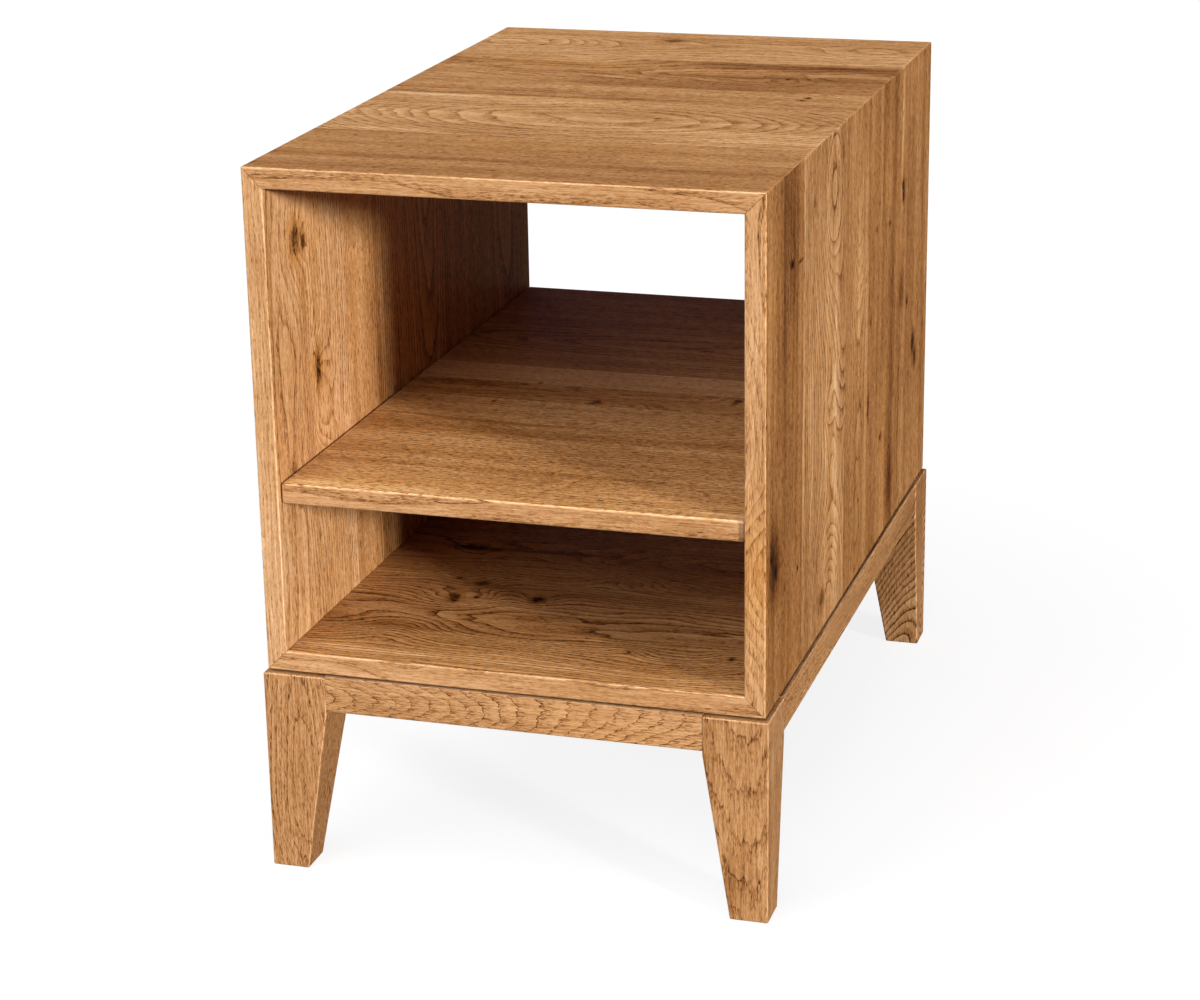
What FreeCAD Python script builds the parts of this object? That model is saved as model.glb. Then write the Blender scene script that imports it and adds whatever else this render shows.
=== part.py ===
"""Open oak bedside cabinet: mitred carcase, one shelf, and a separate frame with four tapered legs.

Millimetres. +X right, -Y front, +Z up. The origin is on the floor, under the middle of the cabinet.
"""

import FreeCAD, Part
import os
import Sketcher

from FreeCAD import Placement, Rotation, Vector

# Driving dimensions -------------------------------------------------------------------------------

DIMENSIONS = {
    "cab_width": 450.0,       # carcase, outside, left to right
    "cab_depth": 700.0,       # carcase, front to back
    "cab_height": 450.0,      # carcase, bottom face to top face
    "panel": 18.5,            # thickness of the carcase panels
    "arris": 1.6,             # rounding of the exposed edges of carcase and base
    "base_height": 188.0,     # floor to carcase
    "base_out": 3.5,          # how far the legs stand outside the carcase
    "leg_size": 58.0,         # square section of a leg's top
    "foot_size": 34.0,        # square section of a leg's bottom
    "leg_gap": 2.0,           # shadow gap between leg top and carcase
    "shoulder_drop": 3.0,     # rail underside to the start of the leg's taper
    "rail_height": 34.0,
    "rail_thick": 20.0,
    "rail_recess": 0.8,       # rail face behind leg face
    "shelf_thick": 18.5,
    "shelf_rise": 154.0,      # carcase bottom face to shelf underside
    "shelf_setback": 4.5,     # shelf edge behind carcase edge, at the front
    "shelf_back_gap": 6.0,    # the same at the back
    "shelf_end_gap": 1.2,     # shelf end to side panel
    "shelf_arris": 2.2,       # rounding of the shelf's edges
    "tongue_width": 14.0,     # loose tongue in each mitre, across the joint
    "tongue_thick": 4.0,
    "tongue_from_corner": 9.0,  # inner corner to tongue centre, along the mitre
    "tongue_stop": 30.0,      # tongue end behind carcase edge
    "glue_gap": 0.05,         # around tongues, dowels and screw shanks
    "dowel_radius": 4.0,
    "dowel_half": 18.0,       # dowel reach each side of a leg and rail joint
    "dowel_spread": 8.5,      # dowel above and below the rail's middle
    "shelf_dowel_in_side": 10.0,
    "shelf_dowel_in_shelf": 20.0,
    "shelf_dowel_from_edge": 90.0,
    "bore_bottom": 0.5,       # space past the end of a dowel or screw
    "cleat_size": 20.0,       # square section of the fixing cleats
    "cleat_length": 460.0,
    "screw_radius": 2.0,
    "screw_head_radius": 4.0,
    "screw_head_height": 2.6,
    "screw_length": 27.0,     # under the head
    "screw_tip": 4.0,         # tapered end, part of the length
    "screw_point_radius": 0.5,
    "counterbore_radius": 4.6,
    "rail_counterbore": 6.0,
    "carcase_counterbore": 8.0,
}

# Glue lines between the boards of each panel, as fractions of its depth from the front edge.
SEAMS = {
    "top": (0.231, 0.488, 0.582, 0.782),
    "bottom": (0.315, 0.470, 0.640, 0.810),
    "left_side": (0.254, 0.337, 0.671, 0.835),
    "right_side": (0.187, 0.432, 0.577, 0.788),
    "shelf": (0.240, 0.415, 0.492, 0.572, 0.790),
}

RAIL_SCREWS_Y = (-170.0, 0.0, 170.0)
CARCASE_SCREWS_Y = (-205.0, -85.0, 85.0, 205.0)

OVERRUN = 5.0  # how far a cutting tool passes the faces that it cuts
NEAR = 1e-3    # two lengths closer than this are the same

doc = FreeCAD.newDocument("bedside_cabinet")
sheet = doc.addObject("Spreadsheet::Sheet", "dims")
nodes = {}


def fill_sheet():
    """Writes the driving dimensions and the glue lines as aliased plain numbers."""
    values = dict(DIMENSIONS)
    for panel, fractions in SEAMS.items():
        for number, fraction in enumerate(fractions, 1):
            values[f"{panel}_seam_{number}"] = fraction
    for row, (alias, value) in enumerate(values.items(), 1):
        sheet.set(f"A{row}", alias)
        sheet.set(f"B{row}", str(value))
        sheet.setAlias(f"B{row}", alias)
    doc.recompute()


# Places that several pieces share, as expressions over the sheet.
HALF_WIDTH = "dims.cab_width / 2"
HALF_DEPTH = "dims.cab_depth / 2"
INNER_X = "(dims.cab_width / 2 - dims.panel)"
LEG_OUT_X = "(dims.cab_width / 2 + dims.base_out)"
LEG_OUT_Y = "(dims.cab_depth / 2 + dims.base_out)"
LEG_IN_X = "(dims.cab_width / 2 + dims.base_out - dims.leg_size)"
LEG_IN_Y = "(dims.cab_depth / 2 + dims.base_out - dims.leg_size)"
RAIL_MID_X = "(dims.cab_width / 2 + dims.base_out - dims.rail_recess - dims.rail_thick / 2)"
RAIL_MID_Y = "(dims.cab_depth / 2 + dims.base_out - dims.rail_recess - dims.rail_thick / 2)"
RAIL_IN_X = "(dims.cab_width / 2 + dims.base_out - dims.rail_recess - dims.rail_thick)"
RAIL_MID_Z = "(dims.base_height - dims.rail_height / 2)"
SHELF_MID_Z = "(dims.base_height + dims.shelf_rise + dims.shelf_thick / 2)"
SHOULDER_Z = "(dims.base_height - dims.rail_height - dims.shoulder_drop)"
LEG_TOP_Z = "(dims.base_height - dims.leg_gap)"

AXIS_TURN = {
    "+x": Rotation(Vector(0, 1, 0), 90),
    "-x": Rotation(Vector(0, 1, 0), -90),
    "+y": Rotation(Vector(1, 0, 0), -90),
    "+z": Rotation(),
}
AXIS_STEP = {"+x": (1, 0, 0), "-x": (-1, 0, 0), "+y": (0, 1, 0), "+z": (0, 0, 1)}


# Shape helpers ------------------------------------------------------------------------------------

def bind(obj, **expressions):
    """Binds properties to the sheet. A double underscore in a name stands for a dot."""
    for name, expression in expressions.items():
        obj.setExpression(name.replace("__", "."), expression)
    return obj


def place(obj, x="0", y="0", z="0", turn=None):
    """Sets the rotation and binds the position."""
    if turn is not None:
        obj.Placement = Placement(Vector(), turn)
    return bind(obj, Placement__Base__x=x, Placement__Base__y=y, Placement__Base__z=z)


def ahead(spot, axis, distance):
    """The three expressions of spot, moved along an axis by a distance expression."""
    return [f"{base} + {step} * ({distance})" for base, step in zip(spot, AXIS_STEP[axis])]


def box(name, length, width, height, x, y, z):
    obj = doc.addObject("Part::Box", name)
    bind(obj, Length=length, Width=width, Height=height)
    return place(obj, x, y, z)


def cylinder(name, radius, height, x, y, z, axis="+z"):
    obj = doc.addObject("Part::Cylinder", name)
    bind(obj, Radius=radius, Height=height)
    return place(obj, x, y, z, AXIS_TURN[axis])


def group(name, members):
    obj = doc.addObject("Part::Compound", name)
    obj.Links = members
    return obj


def cut(name, base, tool):
    obj = doc.addObject("Part::Cut", name)
    obj.Base = base
    obj.Tool = tool
    return obj


def common(name, base, tool):
    obj = doc.addObject("Part::Common", name)
    obj.Base = base
    obj.Tool = tool
    return obj


def node(label, obj):
    """Names a finished sub-part; the label is also its file name."""
    obj.Label = label
    nodes[label] = obj
    return obj


def sketch_on(body, plane, name):
    """Adds a sketch on one of the body's own origin planes."""
    sketch = body.newObject("Sketcher::SketchObject", name)
    support = [f for f in body.Origin.OriginFeatures if f.Role == plane][0]
    sketch.AttachmentSupport = [(support, "")]
    sketch.MapMode = "FlatFace"
    return sketch


def outline(sketch, corners):
    """Draws a closed outline whose corners are pairs of expressions, all at positive coordinates."""
    first = sketch.GeometryCount
    points = [Vector(evaluate(sketch, u), evaluate(sketch, v), 0) for u, v in corners]
    count = len(points)
    for i in range(count):
        sketch.addGeometry(Part.LineSegment(points[i], points[(i + 1) % count]))
    for i in range(count):
        sketch.addConstraint(
            Sketcher.Constraint("Coincident", first + i, 2, first + (i + 1) % count, 1))
    for i, (u, v) in enumerate(corners):
        for kind, value, expression in (("DistanceX", points[i].x, u), ("DistanceY", points[i].y, v)):
            index = sketch.addConstraint(Sketcher.Constraint(kind, -1, 1, first + i, 1, value))
            if expression != "0":
                sketch.setExpression(f"Constraints[{index}]", expression)


def evaluate(obj, expression):
    return float(obj.evalExpression(expression))


def pad(body, sketch, length):
    feature = body.newObject("PartDesign::Pad", body.Name + "_pad")
    feature.Profile = sketch
    bind(feature, Length=length)
    doc.recompute()
    return feature


def round_edges(body, base, wanted, radius="dims.arris"):
    """Rounds the edges that wanted(edge) picks."""
    names = [f"Edge{i}" for i, edge in enumerate(base.Shape.Edges, 1) if wanted(edge)]
    feature = body.newObject("PartDesign::Fillet", body.Name + "_arris")
    feature.Base = (base, names)
    bind(feature, Radius=radius)
    doc.recompute()
    return feature


def flat_in(edge, axis):
    """Whether the whole edge has one value of x, y or z, and the lowest such value on it."""
    bounds = edge.BoundBox
    low = getattr(bounds, axis.upper() + "Min")
    high = getattr(bounds, axis.upper() + "Max")
    return high - low < NEAR, low


# Dowels, tongues and screws, with the bores that take them -----------------------------------------

def dowel_pairs():
    """Centres of the dowels between legs and rails: name, axis, and where each dowel starts."""
    for side_x in (-1, 1):
        for side_y in (-1, 1):
            for level in (-1, 1):
                height = f"{RAIL_MID_Z} + {level} * dims.dowel_spread"
                tag = f"{side_x + 1}{side_y + 1}{level + 1}"
                yield (f"x{tag}", "+x", f"{side_x} * {LEG_IN_X}", f"{side_y} * {RAIL_MID_Y}", height)
                yield (f"y{tag}", "+y", f"{side_x} * {RAIL_MID_X}", f"{side_y} * {LEG_IN_Y}", height)


def leg_dowels(name, radius, half):
    """Cylinders centred on each leg and rail joint."""
    members = []
    for tag, axis, x, y, z in dowel_pairs():
        start_x = f"{x} - ({half})" if axis == "+x" else x
        start_y = f"{y} - ({half})" if axis == "+y" else y
        members.append(
            cylinder(f"{name}_{tag}", radius, f"2 * ({half})", start_x, start_y, z, axis))
    return group(name, members)


def shelf_dowels(name, radius, extra):
    """Cylinders from each side panel into the shelf's ends."""
    length = f"dims.shelf_dowel_in_side + dims.shelf_dowel_in_shelf + 2 * ({extra})"
    members = []
    for side, axis in ((-1, "-x"), (1, "+x")):
        for end in (-1, 1):
            x = f"{side} * ({INNER_X} - dims.shelf_dowel_in_shelf - ({extra}))"
            y = f"{end} * ({HALF_DEPTH} - dims.shelf_dowel_from_edge)"
            members.append(
                cylinder(f"{name}_{side + 1}{end + 1}", radius, length, x, y, SHELF_MID_Z, axis))
    return group(name, members)


def mitre_tongue(name, side, level, gap):
    """A flat strip across the mitre at one long corner: side is left or right, level is down or up."""
    width = f"(dims.tongue_width + 2 * ({gap}))"
    thick = f"(dims.tongue_thick + 2 * ({gap}))"
    length = f"(dims.cab_depth - 2 * dims.tongue_stop + 2 * ({gap}))"
    mid_z = "(dims.base_height + dims.cab_height / 2)"
    inner_z = "(dims.cab_height / 2 - dims.panel)"
    along = "dims.tongue_from_corner * sqrt(0.5)"
    strip = doc.addObject("Part::Box", name)
    bind(strip, Length=width, Width=length, Height=thick)
    x = (f"{side} * ({INNER_X} + {along})"
         f" - sqrt(0.5) * ({level} * {width} + {side} * {thick}) / 2")
    z = (f"{mid_z} + {level} * ({inner_z} + {along})"
         f" + sqrt(0.5) * ({side} * {width} - {level} * {thick}) / 2")
    angle = side * (45 if level > 0 else 135)
    return place(strip, x, f"-{length} / 2", z, Rotation(Vector(0, 1, 0), angle))


def screw(name, x, y, z, axis):
    """A round-headed wood screw; x, y, z is the centre of the head's underside, axis its way in."""
    spot = (x, y, z)
    head = cylinder(name + "_head", "dims.screw_head_radius", "dims.screw_head_height",
                    *ahead(spot, axis, "-dims.screw_head_height"), axis)
    shank = cylinder(name + "_shank", "dims.screw_radius", "dims.screw_length - dims.screw_tip",
                     *spot, axis)
    tip = doc.addObject("Part::Cone", name + "_tip")
    bind(tip, Radius1="dims.screw_radius", Radius2="dims.screw_point_radius", Height="dims.screw_tip")
    place(tip, *ahead(spot, axis, "dims.screw_length - dims.screw_tip"), AXIS_TURN[axis])
    whole = doc.addObject("Part::MultiFuse", name)
    whole.Shapes = [head, shank, tip]
    whole.Refine = True
    return whole


def screw_bore(name, x, y, z, axis):
    """The counterbore behind a screw's head and the pilot hole in front of it."""
    wide = cylinder(name + "_wide", "dims.counterbore_radius", "dims.cleat_size",
                    *ahead((x, y, z), axis, "-dims.cleat_size"), axis)
    pilot = cylinder(name + "_pilot", "dims.screw_radius + dims.glue_gap",
                     "dims.screw_length + dims.bore_bottom", x, y, z, axis)
    return group(name, [wide, pilot])


def rail_screw_places():
    """Screws that go outwards through each cleat into its side rail."""
    for side, axis in ((-1, "-x"), (1, "+x")):
        x = f"{side} * ({RAIL_IN_X} - dims.cleat_size + dims.rail_counterbore)"
        z = "(dims.base_height - dims.cleat_size / 2)"
        for number, y in enumerate(RAIL_SCREWS_Y):
            yield f"{side + 1}{number}", x, str(y), z, axis


def carcase_screw_places():
    """Screws that go up through each cleat into the carcase's bottom."""
    for side in (-1, 1):
        x = f"{side} * ({RAIL_IN_X} - dims.cleat_size / 2)"
        z = "(dims.base_height - dims.cleat_size + dims.carcase_counterbore)"
        for number, y in enumerate(CARCASE_SCREWS_Y):
            yield f"{side + 1}{number}", x, str(y), z, "+z"


# Carcase ------------------------------------------------------------------------------------------

def carcase_blank():
    """The four panels as one mitred ring, with its exposed edges rounded."""
    body = doc.addObject("PartDesign::Body", "carcase_blank")
    ring = sketch_on(body, "XZ_Plane", "carcase_ring")
    outline(ring, [("0", "0"), ("dims.cab_width", "0"),
                   ("dims.cab_width", "dims.cab_height"), ("0", "dims.cab_height")])
    far_x = "dims.cab_width - dims.panel"
    far_z = "dims.cab_height - dims.panel"
    outline(ring, [("dims.panel", "dims.panel"), (far_x, "dims.panel"),
                   (far_x, far_z), ("dims.panel", far_z)])
    solid = pad(body, ring, "dims.cab_depth")
    width, height = DIMENSIONS["cab_width"], DIMENSIONS["cab_height"]

    def exposed(edge):
        """Every edge but the four inner corners, which run from front to back."""
        along_depth = not flat_in(edge, "y")[0]
        x, z = flat_in(edge, "x")[1], flat_in(edge, "z")[1]
        inner = NEAR < x < width - NEAR and NEAR < z < height - NEAR
        return not (along_depth and inner)

    round_edges(body, solid, exposed)
    return place(body, f"-{HALF_WIDTH}", HALF_DEPTH, "dims.base_height")


def mitre_wedge(name, panel, number, length, turn, x, z):
    """The space of one board: mitred at both ends, between two glue lines."""
    last = len(SEAMS[panel])
    seam = f"dims.{panel}_seam_"
    front = f"0.5 - {seam}{number}" if number > 0 else "0.5"
    back = f"0.5 - {seam}{number + 1}" if number < last else "-0.5"
    beyond_front = OVERRUN if number == 0 else 0
    beyond_back = OVERRUN if number == last else 0
    inner_half = f"({length} / 2 - dims.panel - {OVERRUN})"
    outer_half = f"({length} / 2 + {OVERRUN})"
    wedge = doc.addObject("Part::Wedge", name)
    low = f"dims.cab_depth * ({back}) - {beyond_back}"
    high = f"dims.cab_depth * ({front}) + {beyond_front}"
    bind(wedge, Xmin=f"-{inner_half}", Xmax=inner_half, X2min=f"-{outer_half}", X2max=outer_half,
         Ymin=f"-(dims.panel + {OVERRUN})", Ymax=str(OVERRUN),
         Zmin=low, Zmax=high, Z2min=low, Z2max=high)
    return place(wedge, x, "0", z, turn.multiply(Rotation(Vector(1, 0, 0), 90)))


def carcase_boards(machined):
    """Splits the machined ring into its boards at the mitres and the glue lines."""
    up = Vector(0, 1, 0)
    mid = "dims.base_height + dims.cab_height / 2"
    panels = {
        "top": ("dims.cab_width", Rotation(up, 0), "0", "dims.base_height + dims.cab_height"),
        "bottom": ("dims.cab_width", Rotation(up, 180), "0", "dims.base_height"),
        "left_side": ("dims.cab_height", Rotation(up, -90), f"-{HALF_WIDTH}", mid),
        "right_side": ("dims.cab_height", Rotation(up, 90), HALF_WIDTH, mid),
    }
    for panel, (length, turn, x, z) in panels.items():
        for number in range(len(SEAMS[panel]) + 1):
            name = f"{panel}_board_{number + 1}"
            wedge = mitre_wedge(name + "_space", panel, number, length, turn, x, z)
            node(name, common(name, machined, wedge))


# Shelf --------------------------------------------------------------------------------------------

def shelf_blank():
    body = doc.addObject("PartDesign::Body", "shelf_blank")
    plan = sketch_on(body, "XY_Plane", "shelf_plan")
    length = "dims.cab_width - 2 * dims.panel - 2 * dims.shelf_end_gap"
    width = "dims.cab_depth - dims.shelf_setback - dims.shelf_back_gap"
    outline(plan, [("0", "0"), (length, "0"), (length, width), ("0", width)])
    round_edges(body, pad(body, plan, "dims.shelf_thick"), lambda edge: True, "dims.shelf_arris")
    return place(body, f"-({INNER_X} - dims.shelf_end_gap)", f"-{HALF_DEPTH} + dims.shelf_setback",
                 "dims.base_height + dims.shelf_rise")


def shelf_boards(machined):
    last = len(SEAMS["shelf"])
    for number in range(last + 1):
        name = f"shelf_board_{number + 1}"
        front = f"dims.cab_depth * (dims.shelf_seam_{number} - 0.5)"
        back = f"dims.cab_depth * (dims.shelf_seam_{number + 1} - 0.5)"
        if number == 0:
            front = f"-{HALF_DEPTH} - {OVERRUN}"
        if number == last:
            back = f"{HALF_DEPTH} + {OVERRUN}"
        space = box(name + "_space", "dims.cab_width", f"{back} - ({front})",
                    f"dims.shelf_thick + {2 * OVERRUN}", f"-{HALF_WIDTH}", front,
                    f"dims.base_height + dims.shelf_rise - {OVERRUN}")
        node(name, common(name, machined, space))


# Base ---------------------------------------------------------------------------------------------

def leg_profile(outer_first):
    """Outline of a leg seen square on: straight outside, tapered inside from the shoulder down."""
    full, foot = "dims.leg_size", "dims.foot_size"
    if outer_first:
        return [("0", "0"), (foot, "0"), (full, SHOULDER_Z), (full, LEG_TOP_Z), ("0", LEG_TOP_Z)]
    return [(f"{full} - {foot}", "0"), (full, "0"), (full, LEG_TOP_Z), ("0", LEG_TOP_Z), ("0", SHOULDER_Z)]


def taper_waste(front):
    """Outline of the wedge that is sawn off a leg's inner face, seen from the side."""
    if front:
        return [("dims.foot_size", "0"), ("dims.leg_size", "0"), ("dims.leg_size", SHOULDER_Z)]
    return [("0", "0"), ("dims.leg_size - dims.foot_size", "0"), ("0", SHOULDER_Z)]


def leg(label, side, end, bores):
    """side is -1 left or 1 right; end is -1 front or 1 back."""
    body = doc.addObject("PartDesign::Body", label + "_blank")
    face = sketch_on(body, "XZ_Plane", label + "_face")
    outline(face, leg_profile(side < 0))
    block = pad(body, face, "dims.leg_size")

    waste = sketch_on(body, "YZ_Plane", label + "_waste")
    bind(waste, AttachmentOffset__Base__x="-dims.leg_size")
    outline(waste, taper_waste(end < 0))
    pocket = body.newObject("PartDesign::Pocket", label + "_taper")
    pocket.Profile = waste
    pocket.Reversed = True
    bind(pocket, Length="dims.leg_size")
    doc.recompute()
    if pocket.Shape.Volume > block.Shape.Volume - NEAR:
        raise RuntimeError(f"{label}: the taper cut nothing")

    shoulder = evaluate(sheet, "base_height - rail_height - shoulder_drop")

    def arris(edge):
        level, height = flat_in(edge, "z")
        return not (level and abs(height - shoulder) < NEAR)

    round_edges(body, pocket, arris)
    place(body, f"-{LEG_OUT_X}" if side < 0 else LEG_IN_X, f"-{LEG_IN_Y}" if end < 0 else LEG_OUT_Y)
    return node(label, cut(label, body, bores))


def rail(label, along, side, bores):
    """A rail between two legs. along is x or y; side is -1 for left or front, 1 for right or back."""
    body = doc.addObject("PartDesign::Body", label + "_blank")
    section = sketch_on(body, "XY_Plane", label + "_plan")
    length = f"2 * {LEG_IN_X}" if along == "x" else f"2 * {LEG_IN_Y}"
    size = (length, "dims.rail_thick") if along == "x" else ("dims.rail_thick", length)
    outline(section, [("0", "0"), (size[0], "0"), size, ("0", size[1])])
    solid = pad(body, section, "dims.rail_height")
    other = "y" if along == "x" else "x"

    def long_edge(edge):
        return flat_in(edge, other)[0] and flat_in(edge, "z")[0] and not flat_in(edge, along)[0]

    round_edges(body, solid, long_edge)
    middle = RAIL_MID_Y if along == "x" else RAIL_MID_X
    across = f"{side} * {middle} - dims.rail_thick / 2"
    start = f"-{LEG_IN_X}" if along == "x" else f"-{LEG_IN_Y}"
    x, y = (start, across) if along == "x" else (across, start)
    place(body, x, y, "dims.base_height - dims.rail_height")
    return node(label, cut(label, body, bores))


def cleat(label, side, bores):
    """A square batten inside a side rail, under the carcase's bottom."""
    x = f"{side} * ({RAIL_IN_X} - dims.cleat_size / 2) - dims.cleat_size / 2"
    batten = box(label + "_blank", "dims.cleat_size", "dims.cleat_length", "dims.cleat_size",
                 x, "-dims.cleat_length / 2", "dims.base_height - dims.cleat_size")
    return node(label, cut(label, batten, bores))


# Assembly -----------------------------------------------------------------------------------------

def build():
    fill_sheet()
    bore_radius = "dims.dowel_radius + dims.glue_gap"
    corners = [("lower_left", -1, -1), ("lower_right", 1, -1), ("upper_left", -1, 1), ("upper_right", 1, 1)]
    grooves = [mitre_tongue(f"groove_{name}", side, level, "dims.glue_gap")
               for name, side, level in corners]
    shelf_bores = shelf_dowels("shelf_bores", bore_radius, "dims.bore_bottom")
    rail_bores = group("rail_screw_bores",
                       [screw_bore(f"rail_bore_{tag}", *spot) for tag, *spot in rail_screw_places()])
    carcase_bores = group("carcase_screw_bores",
                          [screw_bore(f"carcase_bore_{tag}", *spot)
                           for tag, *spot in carcase_screw_places()])
    leg_bores = leg_dowels("leg_bores", bore_radius, "dims.dowel_half + dims.bore_bottom")

    carcase_boards(cut("carcase_machined", carcase_blank(),
                       group("carcase_tools", grooves + [shelf_bores, carcase_bores])))
    shelf_boards(cut("shelf_machined", shelf_blank(), shelf_bores))

    for name, side, level in corners:
        node(f"mitre_tongue_{name}", mitre_tongue(f"tongue_{name}", side, level, "0"))
    node("shelf_dowels", shelf_dowels("shelf_dowels", "dims.dowel_radius", "0"))

    for end_name, end in (("front", -1), ("back", 1)):
        for side_name, side in (("left", -1), ("right", 1)):
            leg(f"leg_{end_name}_{side_name}", side, end, leg_bores)
    rail_tools = group("rail_tools", [leg_bores, rail_bores])
    rail("rail_front", "x", -1, rail_tools)
    rail("rail_back", "x", 1, rail_tools)
    rail("rail_left", "y", -1, rail_tools)
    rail("rail_right", "y", 1, rail_tools)
    node("leg_dowels", leg_dowels("leg_dowels", "dims.dowel_radius", "dims.dowel_half"))

    cleat_tools = group("cleat_tools", [rail_bores, carcase_bores])
    cleat("cleat_left", -1, cleat_tools)
    cleat("cleat_right", 1, cleat_tools)
    node("cleat_rail_screws", group("cleat_rail_screws", [
        screw(f"rail_screw_{tag}", *spot) for tag, *spot in rail_screw_places()]))
    node("cleat_carcase_screws", group("cleat_carcase_screws", [
        screw(f"carcase_screw_{tag}", *spot) for tag, *spot in carcase_screw_places()]))
    doc.recompute()


def check():
    """Stops if any object failed or any sub-part has no valid shape."""
    for obj in doc.Objects:
        bad = {"Invalid", "Error"} & set(obj.State)
        if bad:
            raise RuntimeError(f"{obj.Name}: {bad}")
    for label, obj in nodes.items():
        shape = obj.Shape
        if shape.isNull() or not shape.isValid() or not shape.Solids:
            raise RuntimeError(f"{label}: no valid solid")


def export():
    os.makedirs("parts", exist_ok=True)
    for label, obj in nodes.items():
        obj.Shape.exportStep(f"parts/{label}.step")
        bounds = obj.Shape.BoundBox
        print(f"{label}: {len(obj.Shape.Solids)} solid(s), {obj.Shape.Volume / 1000:.1f} cm3, "
              f"z {bounds.ZMin:.1f} to {bounds.ZMax:.1f}")


build()
check()
export()
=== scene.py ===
"""Looks of the oak bedside cabinet: procedural oak on every board, leg and rail, studio light and camera.

Metres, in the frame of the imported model: +X right, -Y front, +Z up, the floor at zero.
"""

import math

import bpy
from mathutils import Matrix, Vector


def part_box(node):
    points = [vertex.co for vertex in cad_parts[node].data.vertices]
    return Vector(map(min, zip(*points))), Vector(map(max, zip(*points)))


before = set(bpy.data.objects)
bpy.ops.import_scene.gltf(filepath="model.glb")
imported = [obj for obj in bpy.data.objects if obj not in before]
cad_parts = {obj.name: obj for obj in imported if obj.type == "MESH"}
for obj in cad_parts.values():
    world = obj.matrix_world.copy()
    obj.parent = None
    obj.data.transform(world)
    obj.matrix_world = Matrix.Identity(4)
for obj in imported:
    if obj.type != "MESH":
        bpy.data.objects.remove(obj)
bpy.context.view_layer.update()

MM = 0.001


def srgb(red, green, blue):
    """Linear colour of an 8-bit screen colour."""
    return tuple(((c / 255 + 0.055) / 1.055) ** 2.4 for c in (red, green, blue))


# Node helpers -------------------------------------------------------------------------------------

class Net:
    """Adds shader nodes to a tree. An argument may be a number, a tuple or another node's socket."""

    def __init__(self, tree):
        self.nodes = tree.nodes
        self.links = tree.links

    def feed(self, socket, value):
        if isinstance(value, bpy.types.NodeSocket):
            self.links.new(value, socket)
        elif value is not None:
            socket.default_value = value

    def math(self, operation, a, b=None, c=None):
        node = self.nodes.new("ShaderNodeMath")
        node.operation = operation
        for socket, value in zip(node.inputs, (a, b, c)):
            self.feed(socket, value)
        return node.outputs[0]

    def add(self, a, b):
        return self.math("ADD", a, b)

    def sub(self, a, b):
        return self.math("SUBTRACT", a, b)

    def mul(self, a, b):
        return self.math("MULTIPLY", a, b)

    def madd(self, a, b, c):
        return self.math("MULTIPLY_ADD", a, b, c)

    def larger(self, a, b):
        return self.math("MAXIMUM", a, b)

    def step(self, value, low, high, to_low=0.0, to_high=1.0):
        """A smooth step from to_low to to_high as value goes from low to high."""
        node = self.nodes.new("ShaderNodeMapRange")
        node.interpolation_type = "SMOOTHSTEP"
        for name, v in (("Value", value), ("From Min", low), ("From Max", high),
                        ("To Min", to_low), ("To Max", to_high)):
            self.feed(node.inputs[name], v)
        return node.outputs[0]

    def bell(self, x, y):
        """1 where x and y are both 0, falling smoothly to 0 past 2."""
        squares = self.madd(x, x, self.mul(y, y))
        return self.math("POWER", math.e, self.mul(squares, -1.0))

    def split(self, vector):
        node = self.nodes.new("ShaderNodeSeparateXYZ")
        self.feed(node.inputs[0], vector)
        return node.outputs[0], node.outputs[1], node.outputs[2]

    def join(self, x, y, z):
        node = self.nodes.new("ShaderNodeCombineXYZ")
        for socket, value in zip(node.inputs, (x, y, z)):
            self.feed(socket, value)
        return node.outputs[0]

    def vector(self, operation, a, b=None):
        node = self.nodes.new("ShaderNodeVectorMath")
        node.operation = operation
        self.feed(node.inputs[0], a)
        self.feed(node.inputs[1], b)
        return node.outputs[0]

    def noise(self, vector, detail=1.0, rough=0.5):
        """Smooth noise about zero, mostly within 0.25 either way."""
        node = self.nodes.new("ShaderNodeTexNoise")
        for name, v in (("Vector", vector), ("Scale", 1.0), ("Detail", detail), ("Roughness", rough)):
            self.feed(node.inputs[name], v)
        return self.sub(node.outputs[0], 0.5)

    def grained(self, point, shift, along, across, detail=1.0, rough=0.5):
        """Noise of so many cycles a metre along the grain and across it."""
        scaled = self.vector("MULTIPLY", point, (along, across, across))
        return self.noise(self.vector("ADD", scaled, shift), detail, rough)

    def ramp(self, value, stops):
        node = self.nodes.new("ShaderNodeValToRGB")
        elements = node.color_ramp.elements
        while len(elements) < len(stops):
            elements.new(0.5)
        for element, (position, colour) in zip(elements, stops):
            element.position = position
            element.color = (*colour, 1.0)
        self.feed(node.inputs[0], value)
        return node.outputs[0]

    def mix(self, factor, a, b, blend="MIX"):
        node = self.nodes.new("ShaderNodeMix")
        node.data_type = "RGBA"
        node.blend_type = blend
        self.feed(node.inputs[0], factor)
        colours = [s for s in node.inputs if s.type == "RGBA"]
        for socket, value in zip(colours, (a, b)):
            self.feed(socket, (*value, 1.0) if isinstance(value, tuple) else value)
        return [s for s in node.outputs if s.type == "RGBA"][0]


# Oak ----------------------------------------------------------------------------------------------

# Colour of oiled oak from its darkest pores to its palest bands.
OAK_STOPS = (
    (0.00, srgb(52, 27, 13)),
    (0.25, srgb(120, 77, 40)),
    (0.50, srgb(168, 121, 75)),
    (0.75, srgb(205, 162, 117)),
    (1.00, srgb(242, 211, 177)),
)
# Dark of a knot's middle; also the colour of the painted shadow line between carcase and base.
KNOT_CORE_AND_GAP_SHADOW = srgb(26, 15, 9)
AMBER = (1.0, 0.88, 0.60)  # what the colour is multiplied by where it is warmest, as around knots
HALO_GAIN = 1.3

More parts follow.
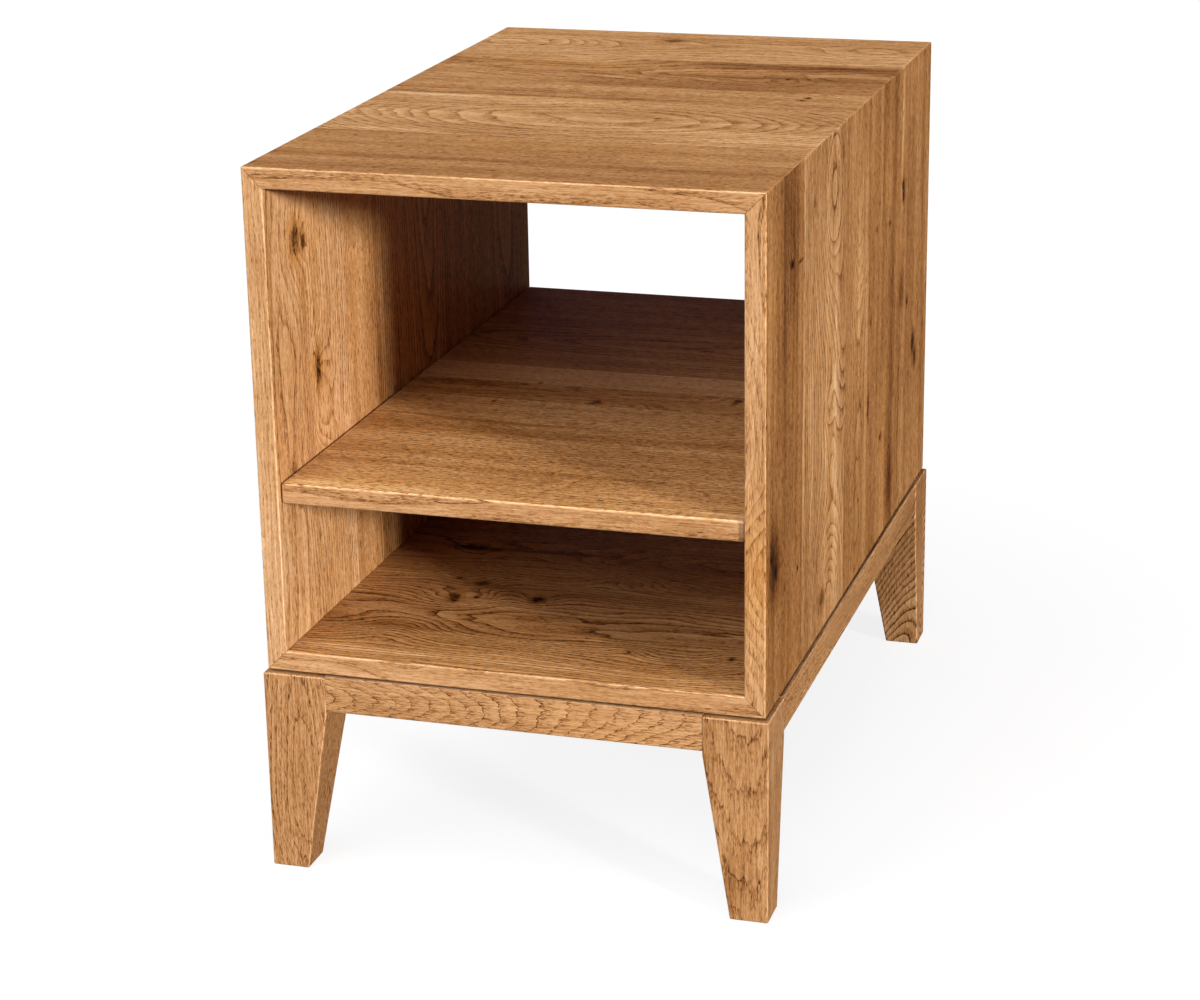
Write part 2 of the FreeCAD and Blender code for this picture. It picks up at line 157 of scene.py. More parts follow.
# What a board's oak is given. Lengths in metres, from the board's middle.
OAK_INPUTS = {
    "Point": None,
    "Seed": 0.0,
    "PithV": 0.0,     # where the middle of the tree was, across the board
    "PithW": -0.06,   # and behind its face
    "LeanV": 0.0,     # slope of the tree's middle against the board
    "LeanW": 0.04,
    "Bow": 0.0,       # how fast the rings close up towards both ends
    "Ring": 0.0035,   # width of a year's growth
    "Wave": 0.010,    # how far the rings wander
    "Bulge": 0.0,     # rings pushed out round a knot
    "Tooth": 0.004,   # how far the lines are drawn out in teeth along the fibres
    "Line": 0.16,     # how much of a ring its dark line takes
    "Tone": 0.0,      # paler above 0, darker below
    "Warm": 0.53,     # how far the colour leans to amber
    "Bold": 1.0,      # contrast of the rings
    "Soft": 1.0,      # how much of it is shading behind the dark lines
    "Vary": 1.0,      # contrast of the slow changes of tone
    "Pores": 1.0,     # contrast of the pores
    "Curl": 0.0,      # waves of light and dark across the grain
    "Fleck": 0.15,    # pale marks where rays meet the face
    "Stain": 0.0,     # tone added by knots, streaks and glue lines
    "Halo": 0.0,      # 1 in a knot's dark middle and in the painted shadow line between carcase and base
    "Core": 0.0,      # 1 in a knot's dark middle
    "WearAndHighlight": 0.0,      # 1 on rounded edges, made paler for wear and a painted highlight
}


def oak_group():
    """Growth rings about a pith line, pores, rays, fibre and slow changes of colour, as one group."""
    tree = bpy.data.node_groups.new("oak", "ShaderNodeTree")
    for name, default in OAK_INPUTS.items():
        kind = "NodeSocketVector" if default is None else "NodeSocketFloat"
        socket = tree.interface.new_socket(name, in_out="INPUT", socket_type=kind)
        if default is not None:
            socket.default_value = default
    for name, kind in (("Color", "NodeSocketColor"), ("Roughness", "NodeSocketFloat"),
                       ("Height", "NodeSocketFloat")):
        tree.interface.new_socket(name, in_out="OUTPUT", socket_type=kind)
    net = Net(tree)
    given = net.nodes.new("NodeGroupInput").outputs
    point, seed = given["Point"], given["Seed"]
    u, v, w = net.split(point)
    shift = net.join(net.mul(seed, 17.3), net.mul(seed, 5.7), net.mul(seed, 9.1))

    # Distance from the pith, with the rings wandering and their lines toothed along the fibres.
    u_toothed = net.madd(net.grained(point, shift, 24.0, 330.0, 1.0), given["Tooth"], u)
    slow = net.grained(point, shift, 3.2, 11.0)
    middle = net.grained(point, shift, 10.0, 50.0)
    away_v = net.sub(v, net.madd(u_toothed, given["LeanV"], given["PithV"]))
    away_w = net.sub(w, net.madd(u_toothed, given["LeanW"], given["PithW"]))
    radius = net.math("SQRT", net.madd(away_v, away_v, net.mul(away_w, away_w)))
    radius = net.madd(net.mul(u_toothed, u_toothed), given["Bow"], radius)
    radius = net.madd(slow, net.mul(given["Wave"], 2.0), radius)
    radius = net.madd(middle, net.mul(given["Wave"], 0.4), radius)
    radius = net.add(radius, given["Bulge"])

    # Rings of uneven width and strength: a dark line, open pores behind it, then denser wood.
    uneven = net.noise(net.join(net.mul(radius, 60.0), seed, 0.0))
    count = net.madd(uneven, 1.8, net.math("DIVIDE", radius, given["Ring"]))
    year = net.math("FLOOR", count)
    part = net.math("FRACT", count)
    chance = net.nodes.new("ShaderNodeTexWhiteNoise")
    chance.noise_dimensions = "2D"
    net.feed(chance.inputs["Vector"], net.join(year, seed, 0.0))
    patchy = net.grained(point, shift, 7.0, 40.0)
    strength = net.add(net.madd(chance.outputs["Value"], 0.5, 0.65), net.mul(patchy, 0.8))
    fall = net.step(part, 0.0, given["Line"], 1.0, 0.0)
    rise = net.step(part, 0.965, 1.0)
    line = net.mul(net.larger(fall, rise), strength)
    early = net.mul(net.step(part, 0.0, 0.75, 1.0, 0.0), strength)

    # Pores crowd the early wood; rays lie in planes through the pith.
    coarse = net.step(net.grained(point, shift, 110.0, 760.0), 0.02, 0.14)
    fine = net.step(net.grained(point, shift, 240.0, 1300.0), 0.00, 0.12)
    pores = net.mul(net.madd(fine, 0.50, net.mul(coarse, 0.60)), net.madd(early, 0.60, 0.50))
    angle = net.math("ARCTAN2", away_v, away_w)
    ray_place = net.join(net.mul(u, 60.0), net.mul(angle, 85.0), net.mul(radius, 100.0))
    rays = net.step(net.noise(net.vector("ADD", ray_place, shift)), 0.12, 0.22)

    fibre = net.grained(point, shift, 20.0, 560.0, 2.0, 0.6)
    band = net.grained(point, shift, 2.0, 55.0, 2.0, 0.55)
    cloud = net.grained(point, shift, 3.5, 9.0, 2.0)
    curl = net.grained(point, shift, 75.0, 22.0, 1.0)

    tone = net.add(given["Tone"], 0.66)
    tone = net.madd(fibre, 0.45, tone)
    tone = net.madd(net.madd(band, 0.42, net.mul(cloud, 0.38)), given["Vary"], tone)
    shading = net.madd(chance.outputs["Value"], 0.08, net.mul(early, -0.13))
    rings = net.madd(line, -0.20, net.mul(shading, given["Soft"]))
    tone = net.madd(rings, given["Bold"], tone)
    tone = net.madd(pores, net.mul(given["Pores"], -0.40), tone)
    tone = net.madd(rays, net.mul(given["Fleck"], 0.6), tone)
    tone = net.madd(curl, given["Curl"], tone)
    tone = net.add(tone, given["Stain"])
    # rounded edges made paler: wear and a painted highlight
    tone = net.madd(given["WearAndHighlight"], 0.15, tone)
    colour = net.ramp(tone, OAK_STOPS)
    ruddy = net.step(net.grained(point, shift, 4.0, 16.0, 2.0), 0.0, 0.3, 0.0, 0.35)
    warmth = net.larger(net.mul(given["Halo"], HALO_GAIN), net.add(ruddy, given["Warm"]))
    colour = net.mix(warmth, colour, AMBER, "MULTIPLY")
    # knot middles and the painted shadow line between carcase and base take the dark colour
    colour = net.mix(given["Core"], colour, KNOT_CORE_AND_GAP_SHADOW)

    gloss = net.madd(pores, 0.14, net.madd(fibre, 0.12, 0.40))
    gloss = net.madd(given["Core"], 0.25, gloss)
    gloss = net.madd(given["WearAndHighlight"], -0.05, gloss)
    height = net.madd(pores, -0.8, net.madd(fibre, 0.40, net.mul(line, -0.10)))
    height = net.madd(given["Core"], -3.0, height)

    out = net.nodes.new("NodeGroupOutput").inputs
    net.feed(out["Color"], colour)
    net.feed(out["Roughness"], gloss)
    net.feed(out["Height"], height)
    return tree


OAK = oak_group()


def knot(along, across, length=8, width=5, core=1.0, swirl=14, bulge=9, halo=0.5):
    """A knot, placed in fractions of the board from its middle, with sizes in millimetres.

    length and width are its dark core's; swirl is how far it disturbs the rings, and bulge how much.
    """
    return {"along": along, "across": across, "length": length, "width": width, "core": core,
            "swirl": swirl, "bulge": bulge, "halo": halo}


def figure(along, across, swirl, bulge):
    """Rings pushed out of line as by a knot under the face, with no core of its own."""
    return knot(along, across, core=0.0, swirl=swirl, bulge=bulge, halo=0.0)


def streak(along, across, length, width, tone):
    """A darker or paler streak, placed like a knot, with its length and width in millimetres."""
    return {"along": along, "across": across, "length": length, "width": width, "tone": tone}


def knot_inputs(net, point, size, knots, seed):
    """What a board's knots give its oak: bulge, stain, halo and core."""
    u, v, _ = net.split(point)
    rough_place = net.vector("MULTIPLY", point, (200.0, 300.0, 200.0))
    rough = net.noise(net.vector("ADD", rough_place, (seed, seed, seed)), 2.0)
    mottle_place = net.vector("MULTIPLY", point, (420.0, 420.0, 420.0))
    mottle = net.step(net.noise(net.vector("ADD", mottle_place, (seed, seed, seed))), -0.16, 0.08)
    bulge, stain, halo, core = 0.0, 0.0, 0.0, 0.0
    for item in knots:
        from_u = net.sub(u, item["along"] * size[0])
        from_v = net.sub(v, item["across"] * size[1])
        swirl = item["swirl"] * MM
        near = net.bell(net.mul(from_u, 0.75 / swirl), net.mul(from_v, 1 / swirl))
        bulge = net.madd(near, item["bulge"] * MM, bulge)
        if not item["core"]:
            continue
        long = net.mul(from_u, 2 / (item["length"] * MM))
        wide = net.mul(from_v, 2 / (item["width"] * MM))
        far = net.math("SQRT", net.madd(long, long, net.mul(wide, wide)))
        ragged = net.madd(rough, 2.2, far)
        hole = net.mul(net.step(ragged, 0.7, 1.15, 1.0, 0.0), item["core"])
        core = net.larger(core, net.mul(hole, net.madd(mottle, 0.45, 0.55)))
        collar = net.step(ragged, 0.9, 2.6, 1.0, 0.0)
        stain = net.madd(collar, -0.26 * item["core"], stain)
        halo = net.larger(halo, net.mul(near, item["halo"]))
    return {"Bulge": bulge, "Stain": stain, "Halo": halo, "Core": core}


def streak_tone(net, point, size, streaks, seed):
    """The tone that a board's streaks add, broken into lines along the grain."""
    u, v, _ = net.split(point)
    lines_place = net.vector("MULTIPLY", point, (5.0, 150.0, 150.0))
    lines = net.noise(net.vector("ADD", lines_place, (seed, 2 * seed, seed)), 2.0)
    drift_place = net.vector("MULTIPLY", point, (9.0, 9.0, 9.0))
    drift = net.mul(net.noise(net.vector("ADD", drift_place, (seed, seed, seed))), 0.03)
    total = 0.0
    for item in streaks:
        from_u = net.sub(u, item["along"] * size[0])
        from_v = net.add(net.sub(v, item["across"] * size[1]), drift)
        near = net.bell(net.mul(from_u, 2 / (item["length"] * MM)), net.mul(from_v, 2 / (item["width"] * MM)))
        total = net.madd(near, net.madd(lines, item["tone"] * 2.4, item["tone"]), total)
    return total


# Wood is described along three axes of its own: u along the grain, v across the board's face and w
# through it. The last entry is the side of w that is the outside of the carcase.
WOOD_AXES = {
    "top": ("XYZ", 1),
    "bottom": ("XYZ", -1),
    "shelf": ("XYZ", 0),
    "left_side": ("ZYX", -1),
    "right_side": ("ZYX", 1),
    "leg": ("ZXY", 0),
    "rail_front": ("XZY", 0),
    "rail_back": ("XZY", 0),
    "rail_left": ("YZX", 0),
    "rail_right": ("YZX", 0),
}
BASE_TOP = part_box("rail_front")[1][2]  # height of the painted shadow line between carcase and base
ARRIS_TRIM = 0.5 * MM  # what the rounded edge takes off a mitred board's length at each end
JOINT_LINE = 0.45 * MM  # half the width of a glue line


def joint_lines(net, point, size, outside, ends):
    """Faint dark lines where a board meets its neighbours and, in the carcase, at its mitred ends."""
    u, v, w = net.split(point)
    line = 0.0
    for end in ends:
        to_edge = net.madd(v, -end, size[1] / 2)
        line = net.larger(line, net.step(to_edge, 0.0, JOINT_LINE, 1.0, 0.0))
    if outside:
        depth = net.madd(w, -outside, size[2] / 2)
        to_end = net.sub(size[0] / 2 + ARRIS_TRIM, net.math("ABSOLUTE", u))
        to_mitre = net.math("ABSOLUTE", net.sub(to_end, depth))
        line = net.larger(line, net.step(to_mitre, 0.0, 1.6 * JOINT_LINE, 1.0, 0.0))
    return line


def glued_edges(name):
    """The edges of a board that are glued to another: -1 the front one, 1 the back one."""
    panel, number = name.rsplit("_", 1)
    return [end for end in (-1, 1) if f"{panel}_{int(number) + end}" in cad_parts]


def wear_and_highlight_edges(net):
    """1 on the rounded edges, where the surface's normal leaves all three axes, for wear and a painted
    highlight.
    """
    normal = net.nodes.new("ShaderNodeTexCoord").outputs["Normal"]
    nx, ny, nz = net.split(net.vector("ABSOLUTE", normal))
    return net.step(net.larger(nx, net.larger(ny, nz)), 0.90, 0.98, 1.0, 0.0)


def front_edges(net):
    """1 on the faces that are turned to the front."""
    ny = net.split(net.nodes.new("ShaderNodeTexCoord").outputs["Normal"])[1]
    return net.step(ny, -0.9, -0.5, 1.0, 0.0)


# What the front edge of a panel is given in place of its board's own values.
EDGE_LOOK = dict(Warm=0.0, Pores=0.8, Bold=0.45, Vary=0.7)

GLUE_LINE_TONE = -0.30
BUMP_STRENGTH = 0.6
BUMP_DEPTH = 0.25 * MM


def oak_material(name, axes, outside, box, seed, knots=(), streaks=(), edge=None, **look):
    """One board's own oak. look holds values for the group's inputs; edge is its front edge's tone."""
    material = bpy.data.materials.new(name + "_oak")
    material.use_nodes = True
    net = Net(material.node_tree)
    shader = net.nodes["Principled BSDF"]
    low, high = (Vector(corner) for corner in box)
    order = ["XYZ".index(axis) for axis in axes]
    size = [(high - low)[i] for i in order]
    place = net.nodes.new("ShaderNodeTexCoord").outputs["Object"]
    parts = net.split(net.vector("SUBTRACT", place, tuple((low + high) / 2)))
    point = net.join(*(parts[i] for i in order))
    oak = net.nodes.new("ShaderNodeGroup")
    oak.node_tree = OAK
    inputs = {"Point": point, "Seed": seed, "WearAndHighlight": wear_and_highlight_edges(net)}
    if knots:
        inputs.update(knot_inputs(net, point, size, knots, seed))
    if streaks:
        inputs["Stain"] = net.add(inputs.get("Stain", 0.0), streak_tone(net, point, size, streaks, seed))
    if "board" in name:
        lines = joint_lines(net, point, size, outside, glued_edges(name))
        inputs["Stain"] = net.madd(lines, GLUE_LINE_TONE, inputs.get("Stain", 0.0))
    # A painted shadow: a dark line, with a groove in the bump, where the carcase sits on the base.
    to_base = net.math("ABSOLUTE", net.sub(net.split(place)[2], BASE_TOP))
    painted_gap_shadow = net.step(to_base, 0.5 * MM, 1.2 * MM, 0.65, 0.0)
    inputs["Core"] = net.larger(painted_gap_shadow, inputs.get("Core", 0.0))
    if edge is not None:
        front = front_edges(net)
        for socket, value in dict(EDGE_LOOK, Tone=edge).items():
            own = look.get(socket, OAK_INPUTS[socket])
            look[socket] = net.step(front, 0.0, 1.0, own, value)
    for socket, value in {**inputs, **look}.items():
        net.feed(oak.inputs[socket], value)
    bump = net.nodes.new("ShaderNodeBump")
    bump.inputs["Strength"].default_value = BUMP_STRENGTH
    bump.inputs["Distance"].default_value = BUMP_DEPTH
    net.feed(bump.inputs["Height"], oak.outputs["Height"])
    net.feed(shader.inputs["Base Color"], oak.outputs["Color"])
    net.feed(shader.inputs["Roughness"], oak.outputs["Roughness"])
    net.feed(shader.inputs["Normal"], bump.outputs["Normal"])
    shader.inputs["IOR"].default_value = 1.45
    shader.inputs["Specular IOR Level"].default_value = 0.25
    return material


# How a board was cut from the tree decides its figure.
ARCHED = dict(PithV=0.0, PithW=-0.06, LeanW=0.045, Ring=0.0038, Bold=0.7, Pores=1.3)
STRAIGHT = dict(PithV=0.14, PithW=-0.04, LeanV=0.01, Ring=0.0030, Wave=0.006, Bold=0.4, Pores=1.4)
FLOWING = dict(PithV=0.02, PithW=-0.05, LeanW=0.02, Ring=0.0044, Wave=0.026, Bold=0.9, Pores=1.3)

BOARDS = {
    "top_board_1": dict(
        STRAIGHT, Tone=-0.04, edge=-0.07,
        streaks=[streak(0.0, -0.1, 900, 12, -0.06), streak(0.35, 0.30, 200, 30, -0.05)]),
    "top_board_2": dict(
        ARCHED, Tone=0.08, LeanW=0.0, Bow=0.9, Ring=0.0056, Wave=0.008, Tooth=0.001, Bold=0.5, Soft=1.3,
        streaks=[streak(-0.36, -0.46, 160, 12, 0.20), streak(0.30, -0.38, 120, 24, 0.10),
                 streak(-0.41, 0.46, 120, 8, 0.18)]),
    "top_board_3": dict(
        STRAIGHT, Tone=0.02, Curl=0.10,
        knots=[knot(0.378, 0.17, 5, 6), knot(0.371, -0.02, 6, 5)],
        streaks=[streak(0.0, -0.44, 900, 8, -0.10)]),
    "top_board_4": dict(
        FLOWING, Tone=-0.085, Curl=0.16, Tooth=0.001, Bold=0.7, Vary=1.4,
        knots=[knot(0.291, -0.05, 3, 4)],
        streaks=[streak(0.30, 0.40, 260, 26, -0.26), streak(0.12, 0.28, 160, 10, -0.12),
                 streak(-0.25, 0.15, 200, 60, -0.08)]),
    "top_board_5": dict(
        ARCHED, Tone=0.08, Ring=0.0060, Wave=0.012, LeanW=-0.06, Tooth=0.001, Bold=0.5, Soft=1.3,
        knots=[knot(-0.067, 0.19, 18, 12, 0.7, 20, -8), figure(-0.42, -0.04, 60, -34),
               figure(0.42, 0.05, 50, -24)]),
    "right_side_board_1": dict(
        STRAIGHT, Tone=-0.12, edge=-0.04, Wave=0.012, Warm=0.66, Vary=1.5,
        knots=[knot(0.322, 0.19, 5, 8), knot(0.313, 0.42, 2, 14, 0.7, 6, 0),
               knot(-0.217, -0.27, 46, 26, 0.55, 44, 26, 0.9), knot(-0.235, -0.24, 7, 6, 1.0, 5, 0),
               knot(-0.200, -0.36, 5, 4, 1.0, 5, 0), knot(-0.291, 0.38, 4, 4)],
        streaks=[streak(0.40, 0.08, 260, 56, -0.25), streak(-0.21, -0.27, 64, 34, -0.24),
                 streak(0.15, 0.25, 300, 40, -0.08), streak(-0.40, -0.1, 200, 40, 0.05)]),
    "right_side_board_2": dict(
        ARCHED, Tone=0.01, PithV=0.045, PithW=-0.10, Ring=0.0062, Wave=0.007, Bold=1.3, LeanW=-0.02, Soft=0.5,
        Warm=0.45, Vary=1.3, Tooth=0.002, Line=0.20,
        knots=[figure(0.394, 0.165, 84, -66), knot(0.394, -0.26, 7, 7, 0.4, 8, 2),
               knot(0.444, 0.40, 12, 7, 0.4, 8, 2), figure(0.055, 0.54, 60, -36),
               figure(-0.044, 0.09, 20, -14), figure(-0.178, 0.18, 20, -14), figure(-0.47, 0.12, 64, -56),
               knot(-0.433, -0.025, 14, 20, 0.6, 14, -4, 0.6)],
        streaks=[streak(0.0, -0.47, 900, 6, 0.12)]),
    "right_side_board_3": dict(
        ARCHED, Tone=-0.08, LeanW=0.05, PithV=0.01, Ring=0.0030, Bold=0.6, Warm=0.55, Vary=1.7,
        Tooth=0.002, Soft=0.5,
        knots=[figure(0.30, 0.1, 60, -12), figure(-0.42, 0.0, 70, -14)],
        streaks=[streak(0.45, 0.2, 120, 60, 0.05), streak(-0.42, 0.0, 160, 70, -0.14)]),
    "right_side_board_4": dict(
        STRAIGHT, Tone=-0.09, Wave=0.014, Warm=0.66, Vary=1.6,
        knots=[knot(-0.156, -0.48, 22, 7, 0.8), knot(-0.267, -0.07, 5, 8), knot(0.189, 0.15, 7, 7, 0.6),
               knot(0.206, -0.26, 5, 7, 0.5), knot(0.022, -0.42, 10, 6, 0.5),
               knot(-0.41, 0.25, 40, 16, 0.35, 30, 14, 0.8)],
        streaks=[streak(-0.42, 0.25, 170, 44, -0.26), streak(-0.15, 0.22, 300, 40, -0.10)]),
    "right_side_board_5": dict(
        STRAIGHT, Tone=-0.05, Wave=0.014, Warm=0.57, Vary=1.3,
        knots=[knot(0.240, -0.42, 11, 9, 1.0, 16, 10, 0.8), knot(0.215, -0.40, 9, 7),
               knot(0.0, -0.44, 26, 20, 0.45, 22, 14, 0.8), knot(-0.036, -0.22, 7, 6),
               knot(-0.150, 0.01, 16, 12, 1.0, 26, 18, 0.8), knot(-0.189, 0.08, 16, 14, 0.7, 16, 8)],
        streaks=[streak(0.33, -0.46, 200, 14, 0.20), streak(-0.3, -0.45, 300, 12, 0.10),
                 streak(0.0, 0.84, 900, 30, 0.08)]),
    "left_side_board_1": dict(
        ARCHED, Tone=0.10, edge=0.045, PithV=-0.05, PithW=-0.09, Ring=0.0032, LeanW=-0.02, Wave=0.010,
        Bold=0.7, Warm=0.39,
        knots=[knot(0.331, -0.14, 22, 13, 0.85, 26, 8, 0.9), knot(0.318, -0.04, 13, 7, 0.9, 10, 2, 0.7),
               knot(0.048, 0.08, 26, 9, 1.0, 24, 12, 0.9), figure(-0.05, 0.04, 36, 26),
               knot(0.085, 0.03, 3, 3, 0.7, 5, 0)],
        streaks=[streak(0.17, -0.05, 90, 40, -0.05), streak(0.0, 0.30, 900, 16, -0.02)]),
    "left_side_board_2": dict(STRAIGHT, Tone=0.02),
    "left_side_board_3": dict(
        ARCHED, Tone=-0.02, PithV=0.03, Ring=0.0040, Bold=1.2,
        streaks=[streak(0.0, -0.44, 900, 20, -0.10)]),
    "left_side_board_4": dict(STRAIGHT, Tone=-0.03),
    "left_side_board_5": dict(ARCHED, Tone=-0.02, PithV=-0.02),
    "bottom_board_1": dict(
        FLOWING, Tone=-0.02, edge=-0.03, Bold=1.5, Warm=0.6,
        knots=[knot(-0.242, 0.25, 9, 16, 0.8, 26, 18, 0.7), knot(-0.235, 0.21, 5, 5, 1.0, 5, 0),
               knot(-0.198, 0.27, 4, 5), knot(-0.072, 0.305, 9, 12, 1.0, 18, 12),
               knot(-0.212, 0.43, 9, 8, 0.8), knot(-0.268, 0.47, 6, 5, 0.8),
               knot(0.189, -0.17, 3, 3), knot(0.391, -0.14, 4, 6), figure(-0.30, -0.16, 30, 22),
               figure(0.44, -0.25, 30, 20)],
        streaks=[streak(-0.2, 0.36, 160, 40, -0.08), streak(0.2, 0.40, 300, 12, -0.08)]),
    "bottom_board_2": dict(
        FLOWING, Tone=-0.10,
        knots=[knot(-0.30, 0.21, 30, 10, 0.9), figure(0.05, -0.3, 26, 18)],
        streaks=[streak(-0.15, 0.21, 200, 12, -0.30)]),
    "bottom_board_3": dict(STRAIGHT, Tone=-0.06),
    "bottom_board_4": dict(ARCHED, Tone=-0.02),
    "bottom_board_5": dict(STRAIGHT, Tone=-0.04),
    "shelf_board_1": dict(
        STRAIGHT, Tone=0.11, edge=-0.08, Warm=0.8, Wave=0.010, Ring=0.0040, Vary=1.3, Pores=2.0,
        streaks=[streak(0.0, -0.30, 700, 14, -0.04)]),
    "shelf_board_2": dict(
        STRAIGHT, Tone=0.18, Warm=1.0, Ring=0.0034, Bold=1.0, Pores=2.0,
        knots=[knot(-0.256, 0.42, 3, 9, 0.7)],
        streaks=[streak(-0.05, -0.28, 600, 30, -0.12), streak(-0.30, -0.05, 220, 7, -0.25)]),
    "shelf_board_3": dict(
        FLOWING, Tone=0.06, Warm=1.0, Pores=1.8,
        knots=[knot(-0.025, -0.31, 8, 10, 0.7), knot(0.060, -0.41, 6, 4, 0.5), knot(0.285, 0.29, 7, 8, 0.9)]),
    "shelf_board_4": dict(STRAIGHT, Tone=0.28, Warm=0.75, knots=[knot(-0.196, -0.45, 4, 3, 0.8)]),
    "shelf_board_5": dict(ARCHED, Tone=-0.01, PithV=0.02),
    "shelf_board_6": dict(STRAIGHT, Tone=-0.02),
    "leg_front_left": dict(
        PithV=0.004, PithW=0.0, LeanW=-0.01, Bow=0.5, Ring=0.0027, Wave=0.009, Tooth=0.022, Line=0.14,
        Tone=-0.10, Warm=0.0, Vary=0.4, Bold=1.0, Soft=0.3),
    "leg_front_right": dict(
        PithV=0.008, PithW=0.05, LeanW=-0.06, Ring=0.0030, Wave=0.008, Tooth=0.030, Line=0.12, Bold=1.1,
        Tone=-0.10, Warm=0.0, Vary=0.7, Soft=0.4,
        streaks=[streak(-0.30, 0.1, 60, 24, -0.12), streak(0.0, 0.5, 500, 5, 0.08)]),
    "leg_back_right": dict(
        PithV=0.05, PithW=0.02, LeanV=0.42, LeanW=0.10, Ring=0.0040, Wave=0.004, Tooth=0.003, Line=0.24,
        Bold=2.0, Soft=0.8, Tone=-0.04, Warm=0.05),
    "leg_back_left": dict(PithV=0.01, PithW=0.08, LeanW=0.06, Ring=0.0040, Bold=1.2, Tone=0.01),
    "rail_front": dict(
        PithV=0.004, PithW=0.034, LeanV=0.04, LeanW=0.15, Ring=0.0030, Wave=0.008, Tooth=0.012, Line=0.09,
        Bold=1.6, Tone=-0.07, Warm=0.0, Vary=0.4, Soft=0.2),
    "rail_back": dict(PithV=0.01, PithW=0.06, LeanW=0.05, Ring=0.0036, Bold=1.2, Tone=0.02),
    "rail_left": dict(STRAIGHT, Tone=0.02),
    "rail_right": dict(STRAIGHT, Tone=-0.04, Bold=1.1, Warm=0.3),
}


def dress_oak():
    """Gives every oak node its own wood."""
    for number, (name, look) in enumerate(sorted(BOARDS.items())):
        axes, outside = next(WOOD_AXES[f] for f in WOOD_AXES if name.startswith(f))
        material = oak_material(name, axes, outside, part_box(name), 1.0 + 0.731 * number, **look)
        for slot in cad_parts[name].material_slots:
            slot.material = material


# Parts that only show when the cabinet is taken apart ---------------------------------------------

def plain_material(name, scale, dark, pale, rough, metallic=0.0):
    """A material with speckles stretched by scale, between two colours and two roughnesses."""
    material = bpy.data.materials.new(name)
    material.use_nodes = True
    net = Net(material.node_tree)
    shader = net.nodes["Principled BSDF"]
    place = net.nodes.new("ShaderNodeTexCoord").outputs["Object"]
    speckle = net.noise(net.vector("MULTIPLY", place, scale), 3.0, 0.6)
    part = net.step(speckle, -0.25, 0.25)
    bump = net.nodes.new("ShaderNodeBump")
    bump.inputs["Strength"].default_value = 0.4
    bump.inputs["Distance"].default_value = 0.1 * MM
    net.feed(bump.inputs["Height"], part)
    net.feed(shader.inputs["Base Color"], net.mix(part, dark, pale))
    net.feed(shader.inputs["Roughness"], net.step(part, 0.0, 1.0, *rough))
    net.feed(shader.inputs["Normal"], bump.outputs["Normal"])
    shader.inputs["Metallic"].default_value = metallic
    return material


def dress_fittings():
    """Beech for tongues, dowels and cleats; zinc-plated steel for the screws."""
    beech = plain_material("beech", (700.0, 90.0, 700.0), srgb(176, 122, 84), srgb(214, 170, 130),
                           (0.62, 0.48))
    steel = plain_material("zinc_steel", (900.0, 900.0, 900.0), srgb(150, 152, 156), srgb(196, 198, 202),
                           (0.42, 0.26), metallic=1.0)
    for name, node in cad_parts.items():
        if name in BOARDS:
            continue
        for slot in node.material_slots:
            slot.material = steel if "screws" in name else beech


dress_oak()
dress_fittings()


# Stage --------------------------------------------------------------------------------------------

# The floor and the backdrop look white, but little of their light reaches the cabinet.
FLOOR_SEEN = (0.18, 0.18, 0.18)
FLOOR_GLOW = 0.84
FLOOR_BOUNCE = (0.10, 0.08, 0.06)
FLOOR_SIZE = 60.0
FLOOR_DROP = 0.5 * MM  # how far the floor lies below the feet
BACKDROP_SEEN = (1.0, 1.0, 1.0)
BACKDROP_LIGHT = (0.052, 0.034, 0.056)


def floor():
    bpy.ops.mesh.primitive_plane_add(size=FLOOR_SIZE, location=(0.0, 0.0, -FLOOR_DROP))
    plane = bpy.context.object
    plane.name = "studio_floor"
    material = bpy.data.materials.new("studio_floor")
    material.use_nodes = True
    net = Net(material.node_tree)
    shader = net.nodes["Principled BSDF"]
    seen = net.nodes.new("ShaderNodeLightPath").outputs["Is Camera Ray"]
    net.feed(shader.inputs["Base Color"], net.mix(seen, FLOOR_BOUNCE, FLOOR_SEEN))
    net.feed(shader.inputs["Emission Strength"], net.mul(seen, FLOOR_GLOW))
    shader.inputs["Emission Color"].default_value = (1.0, 1.0, 1.0, 1.0)
    shader.inputs["Roughness"].default_value = 1.0
    shader.inputs["Specular IOR Level"].default_value = 0.0
    plane.data.materials.append(material)


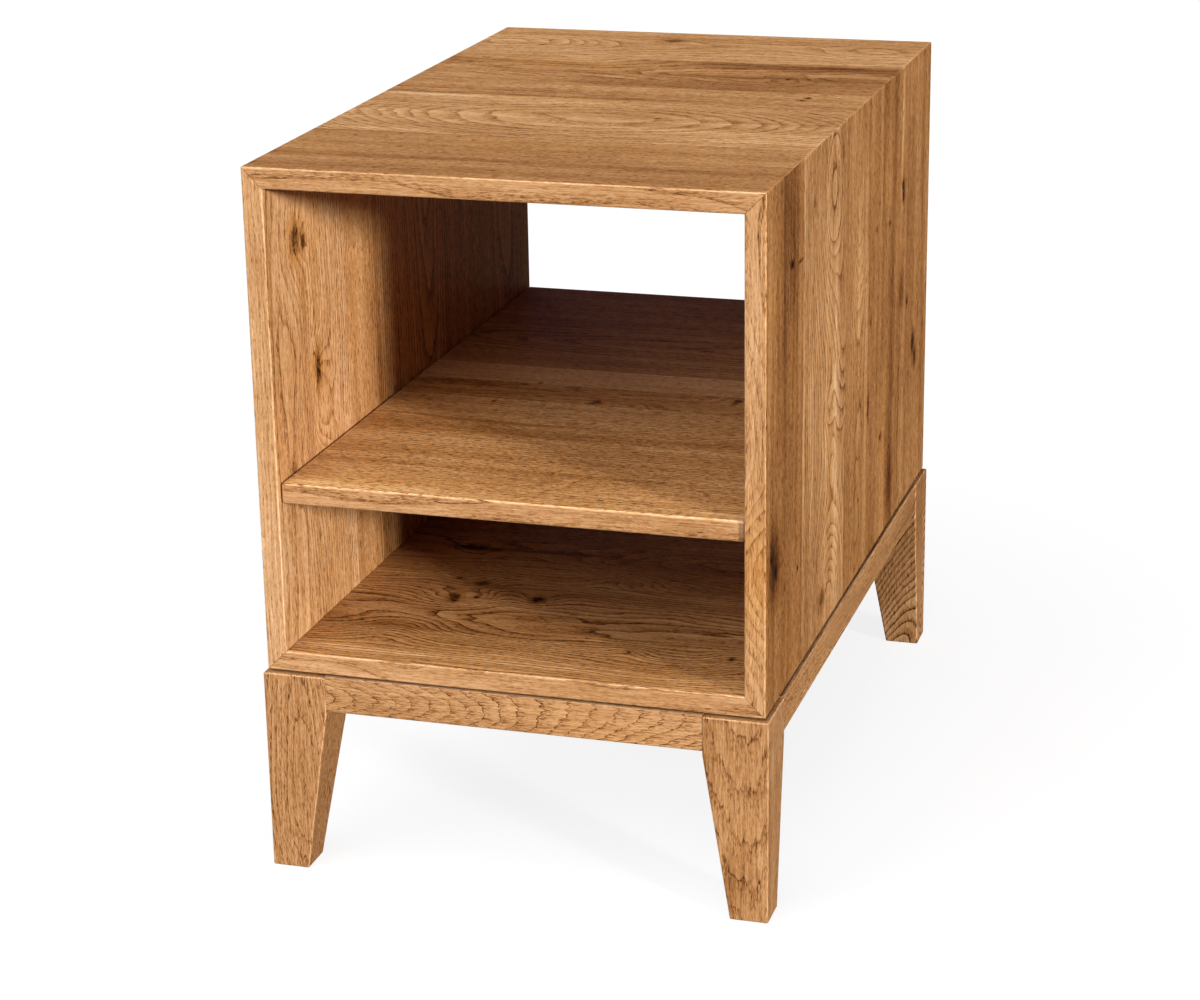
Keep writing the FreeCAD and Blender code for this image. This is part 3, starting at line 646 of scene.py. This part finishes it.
def sun(name, bearing, rise, spread, strength, colour=(1.0, 1.0, 1.0), glare=True):
    """A distant light, from bearing degrees to the right of the front and rise degrees above level.

    spread is how many degrees of sky it fills; without glare it doesn't show in reflections.
    """
    data = bpy.data.lights.new(name, "SUN")
    data.angle = math.radians(spread)
    data.energy = strength * math.pi
    data.color = colour
    lamp = bpy.data.objects.new(name, data)
    lamp.visible_glossy = glare
    bpy.context.scene.collection.objects.link(lamp)
    turn, lift = math.radians(bearing), math.radians(rise)
    away = Vector((math.sin(turn) * math.cos(lift), -math.cos(turn) * math.cos(lift), math.sin(lift)))
    lamp.rotation_euler = away.to_track_quat("Z", "Y").to_euler()


def studio():
    sun("key", 57.8, 11.6, 6.5, 1.18, (1.0, 0.945, 0.92), glare=False)
    sun("overhead", -22, 52, 74, 0.95)
    sun("front", -20, 24, 44, 0.24, (0.95, 1.0, 1.08), glare=False)
    sun("behind", 215, 1, 6, 0.60, glare=False)
    world = bpy.data.worlds.new("studio")
    bpy.context.scene.world = world
    world.use_nodes = True
    net = Net(world.node_tree)
    background = net.nodes["Background"]
    seen = net.nodes.new("ShaderNodeLightPath").outputs["Is Camera Ray"]
    net.feed(background.inputs["Color"], net.mix(seen, BACKDROP_LIGHT, BACKDROP_SEEN))
    bpy.context.scene.view_settings.view_transform = "Standard"


CAMERA_PLACE = Vector((0.758, -2.549, 1.152))
CAMERA_YAW = 17.06    # degrees to the left of the model's +Y
CAMERA_PITCH = 18.76  # degrees down
CAMERA_ROLL = -0.95
CAMERA_LENS = 87.7


def camera():
    yaw, pitch = math.radians(CAMERA_YAW), math.radians(CAMERA_PITCH)
    ahead = Vector((-math.sin(yaw) * math.cos(pitch), math.cos(yaw) * math.cos(pitch), -math.sin(pitch)))
    right = Vector((math.cos(yaw), math.sin(yaw), 0.0))
    turn = Matrix((right, right.cross(ahead), -ahead)).transposed().to_4x4()
    data = bpy.data.cameras.new("camera")
    data.lens = CAMERA_LENS
    eye = bpy.data.objects.new("camera", data)
    bpy.context.scene.collection.objects.link(eye)
    eye.matrix_world = (Matrix.Translation(CAMERA_PLACE) @ turn
                        @ Matrix.Rotation(math.radians(CAMERA_ROLL), 4, "Z"))
    bpy.context.scene.camera = eye


floor()
studio()
camera()
